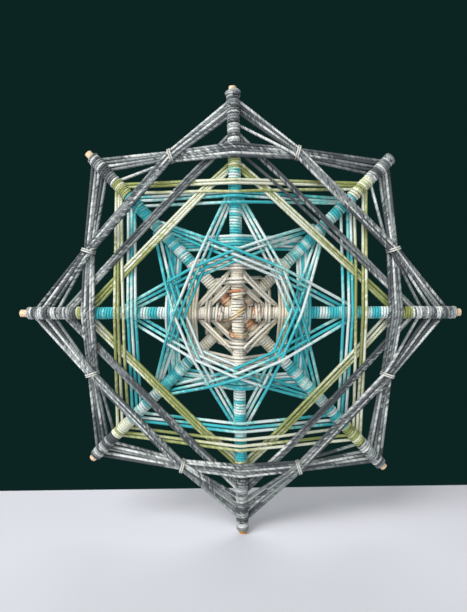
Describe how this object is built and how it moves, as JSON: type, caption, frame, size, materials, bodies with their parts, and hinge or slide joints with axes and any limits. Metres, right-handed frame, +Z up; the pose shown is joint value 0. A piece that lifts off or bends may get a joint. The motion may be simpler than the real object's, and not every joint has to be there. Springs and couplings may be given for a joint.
{
  "type": "ojo de dios",
  "caption": "Yarn mandala wound on crossed wooden sticks: nested squares, diamonds and a star of taut strands, made to hang flat on a wall.",
  "frame": {"origin": "the point where the axes of the crossed sticks meet, seen from the front, halfway through the stack of sticks", "axes": "+Z up along the upright stick, +X to the viewer's right, -Y out of the front"},
  "size_m": [0.3, 0.0344, 0.3],
  "materials": {
    "stick_wood": "bare sanded dowel",
    "yarn_cream": "matte cotton yarn",
    "yarn_aqua": "matte cotton yarn",
    "yarn_green": "matte cotton yarn",
    "yarn_grey": "matte cotton yarn",
    "yarn_light_grey": "matte cotton yarn"
  },
  "bodies": {
    "root": {"stick_upright": "stick_wood", "stick_level": "stick_wood", "stick_falling": "stick_wood", "stick_rising": "stick_wood", "eye_lashing": "yarn_cream", "eye_diamond_inner": "yarn_cream", "eye_square": "yarn_cream", "eye_diamond_outer": "yarn_cream", "cream_square": "yarn_cream", "cover_eye_top": "yarn_cream", "cover_eye_right": "yarn_cream", "cover_eye_bottom": "yarn_cream", "cover_eye_left": "yarn_cream", "aqua_square_inner": "yarn_aqua", "aqua_star": "yarn_aqua", "aqua_square_outer": "yarn_aqua", "cover_inner_top": "yarn_aqua", "cover_inner_right": "yarn_aqua", "cover_inner_bottom": "yarn_aqua", "cover_inner_left": "yarn_aqua", "cover_outer_top": "yarn_aqua", "cover_outer_right": "yarn_aqua", "cover_outer_bottom": "yarn_aqua", "cover_outer_left": "yarn_aqua", "cover_wing_top_right": "yarn_aqua", "cover_wing_low_right": "yarn_aqua", "cover_wing_low_left": "yarn_aqua", "cover_wing_top_left": "yarn_aqua", "green_diamond": "yarn_green", "green_square": "yarn_green", "grey_diamond_inner": "yarn_grey", "grey_square": "yarn_grey", "grey_diamond_outer": "yarn_grey", "tie_top_before": "yarn_light_grey", "tie_top_after": "yarn_light_grey", "tie_right_before": "yarn_light_grey", "tie_right_after": "yarn_light_grey", "tie_bottom_before": "yarn_light_grey", "tie_bottom_after": "yarn_light_grey", "tie_left_before": "yarn_light_grey", "tie_left_after": "yarn_light_grey"}
  },
  "joints": []
}
